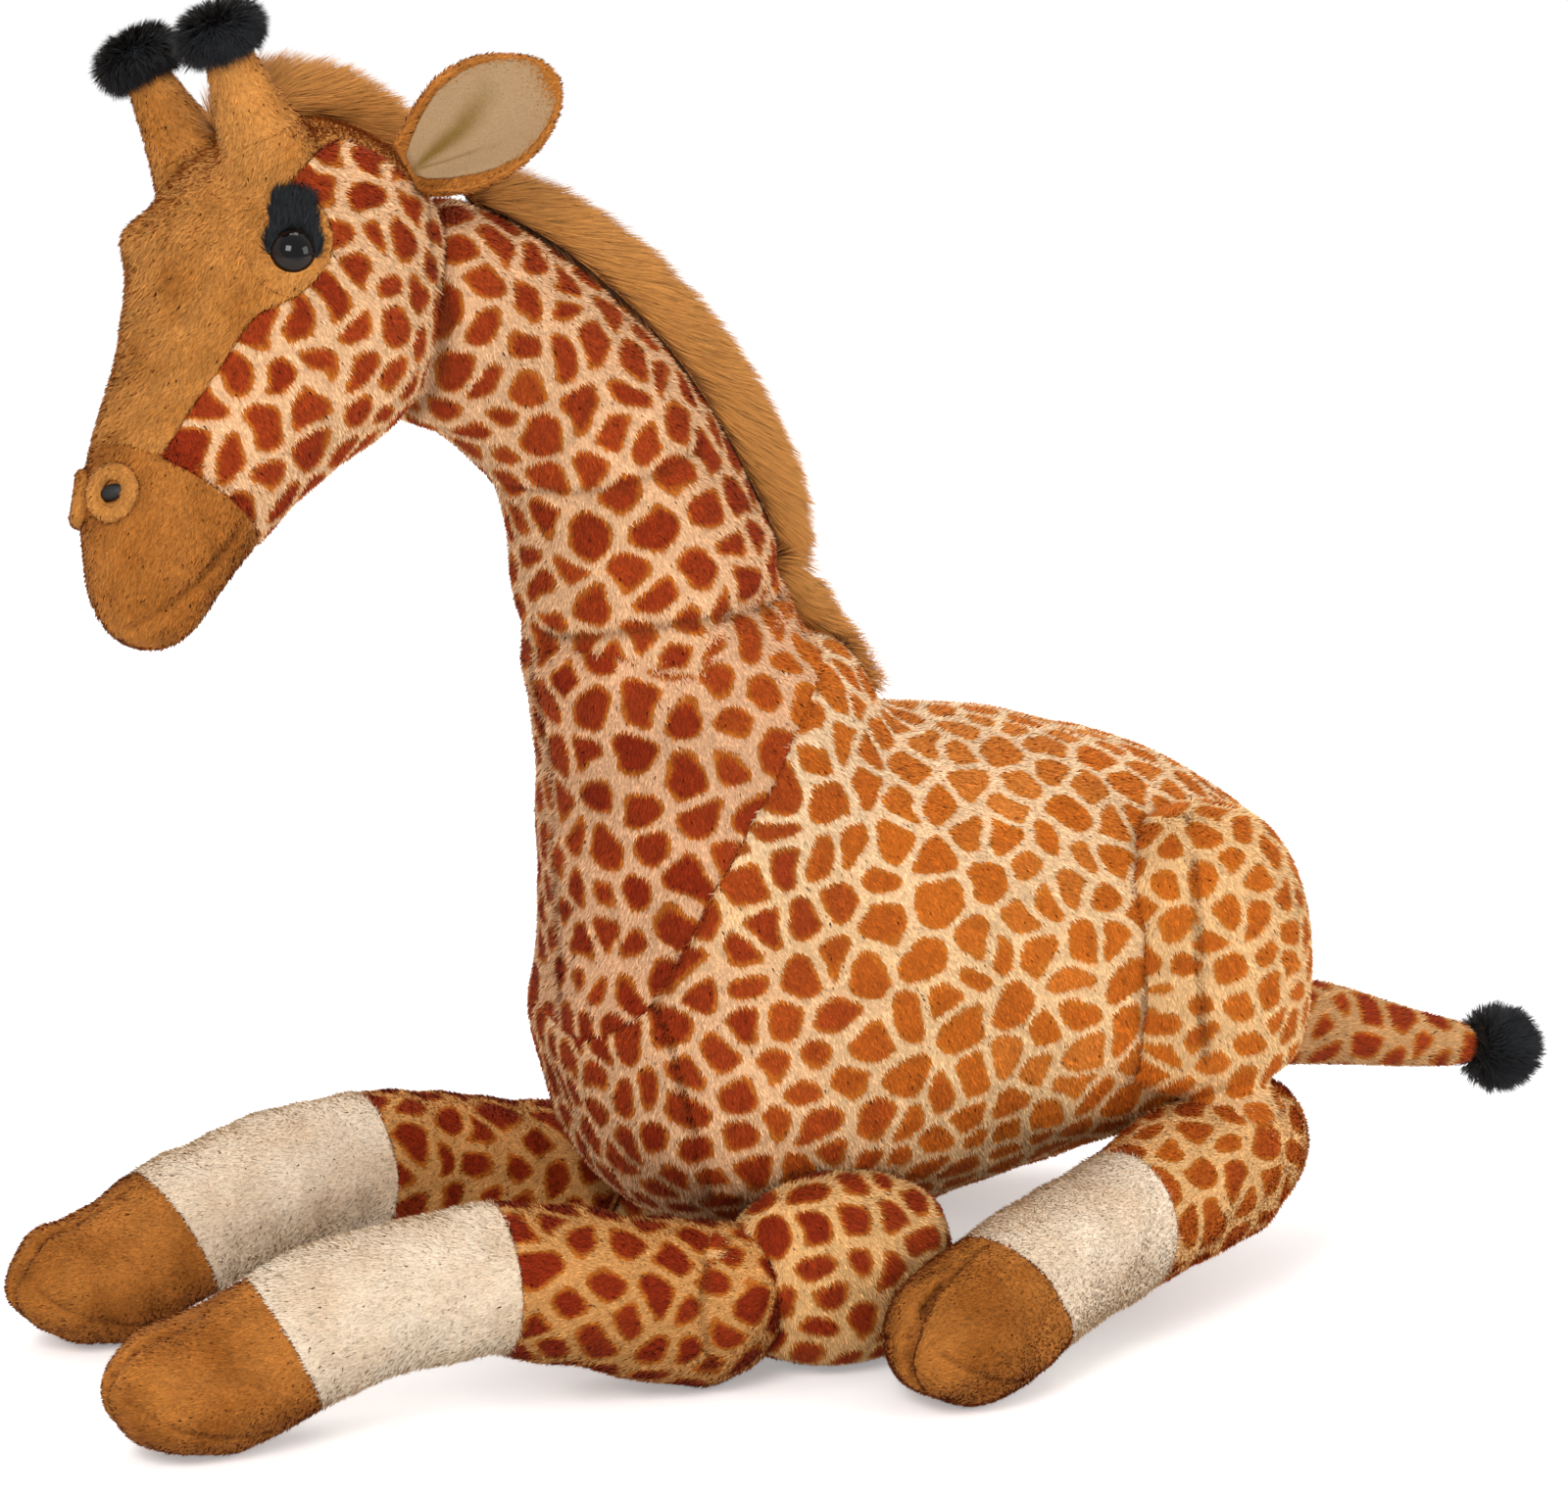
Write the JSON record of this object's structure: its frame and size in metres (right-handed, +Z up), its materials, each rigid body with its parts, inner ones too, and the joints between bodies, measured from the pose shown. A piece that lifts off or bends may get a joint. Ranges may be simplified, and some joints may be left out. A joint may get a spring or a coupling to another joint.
{
  "type": "plush giraffe",
  "caption": "Large stuffed giraffe lying down with its neck raised, printed plush with a long-pile mane, plain hooves, sewn horns, cupped ears, glossy safety eyes and a tufted tail",
  "frame": {"origin": "centre of the bounding box's bottom face, on the plane that the legs lie on", "axes": "the giraffe faces -X, its left side is -Y and +Z is up; X is also its longest extent, from the fore hooves to the tail tuft"},
  "size_m": [0.7568, 0.3906, 0.6168],
  "materials": {
    "printed_plush": "short-pile plush with a printed pattern of rust-brown patches on peach",
    "tan_plush": "short-pile tan plush with a darker nap",
    "cream_plush": "short-pile cream plush",
    "ear_lining": "short-pile peach plush",
    "mane_pile": "long combed ginger pile",
    "black_fur": "medium-length black fur",
    "eye_gloss": "polished black plastic",
    "washer_plastic": "moulded white plastic"
  },
  "bodies": {
    "torso": {"body": "printed_plush", "neck_lower": "printed_plush", "mane_lower": "mane_pile", "upper_arm_left": "printed_plush", "upper_arm_right": "printed_plush", "thigh_left": "printed_plush", "thigh_right": "printed_plush"},
    "neck": {"neck_upper": "printed_plush", "mane_upper": "mane_pile"},
    "skull": {"head": "printed_plush", "face_panel": "tan_plush", "muzzle": "tan_plush", "mane_crown": "mane_pile", "horn_left": "tan_plush", "horn_right": "tan_plush", "horn_tip_left": "black_fur", "horn_tip_right": "black_fur", "eye_left": "eye_gloss", "eye_right": "eye_gloss", "eye_washer_left": "washer_plastic", "eye_washer_right": "washer_plastic", "eyelid_left": "tan_plush", "eyelid_right": "tan_plush", "eyelash_left": "black_fur", "eyelash_right": "black_fur", "nostril_rim_left": "tan_plush", "nostril_rim_right": "tan_plush", "nostril_left": "eye_gloss", "nostril_right": "eye_gloss"},
    "left_ear": {"ear_left": "tan_plush", "ear_lining_left": "ear_lining"},
    "right_ear": {"ear_right": "tan_plush", "ear_lining_right": "ear_lining"},
    "left_foreleg": {"forearm_left": "printed_plush", "fore_pastern_left": "cream_plush", "fore_hoof_left": "tan_plush"},
    "right_foreleg": {"forearm_right": "printed_plush", "fore_pastern_right": "cream_plush", "fore_hoof_right": "tan_plush"},
    "left_hindleg": {"shank_left": "printed_plush", "hind_pastern_left": "cream_plush", "hind_hoof_left": "tan_plush"},
    "right_hindleg": {"shank_right": "printed_plush", "hind_pastern_right": "cream_plush", "hind_hoof_right": "tan_plush"},
    "rear_tail": {"tail": "printed_plush", "tail_tuft": "black_fur"}
  },
  "joints": [
    {"name": "neck_lean", "type": "hinge", "parent": "torso", "child": "neck", "pos_m": [-0.0825, 0, 0.31301], "axis": [0, 1, 0], "range_deg": [-6, 6], "stiffness_Nm_per_rad": 15},
    {"name": "head_nod", "type": "hinge", "parent": "neck", "child": "skull", "pos_m": [-0.18245, 0, 0.47201], "axis": [0.2058, -0.9397, 0.2731], "range_deg": [-8, 8], "stiffness_Nm_per_rad": 6},
    {"name": "ear_left_flap", "type": "hinge", "parent": "skull", "child": "left_ear", "pos_m": [-0.21109, -0.02749, 0.54597], "axis": [-0.3395, 0.395, 0.8537], "range_deg": [-15, 15], "stiffness_Nm_per_rad": 0.05},
    {"name": "ear_right_flap", "type": "hinge", "parent": "skull", "child": "right_ear", "pos_m": [-0.22736, 0.04673, 0.52441], "axis": [0.2539, -0.0043, -0.9672], "range_deg": [-15, 15], "stiffness_Nm_per_rad": 0.05},
    {"name": "foreleg_left_spread", "type": "hinge", "parent": "torso", "child": "left_foreleg", "pos_m": [-0.10347, -0.094, 0.0396], "axis": [0, 0, 1], "range_deg": [0, 25], "stiffness_Nm_per_rad": 0.3},
    {"name": "foreleg_right_spread", "type": "hinge", "parent": "torso", "child": "right_foreleg", "pos_m": [-0.10347, 0.094, 0.0396], "axis": [0, 0, -1], "range_deg": [0, 25], "stiffness_Nm_per_rad": 0.3},
    {"name": "hindleg_left_spread", "type": "hinge", "parent": "torso", "child": "left_hindleg", "pos_m": [0.15852, -0.094, 0.07725], "axis": [0, 0, 1], "range_deg": [0, 30], "stiffness_Nm_per_rad": 0.3},
    {"name": "hindleg_right_spread", "type": "hinge", "parent": "torso", "child": "right_hindleg", "pos_m": [0.15852, 0.094, 0.07725], "axis": [0, 0, -1], "range_deg": [0, 30], "stiffness_Nm_per_rad": 0.3},
    {"name": "tail_swing", "type": "hinge", "parent": "torso", "child": "rear_tail", "pos_m": [0.23553, 0, 0.09799], "axis": [0, 0, 1], "range_deg": [-30, 30], "stiffness_Nm_per_rad": 0.05}
  ]
}
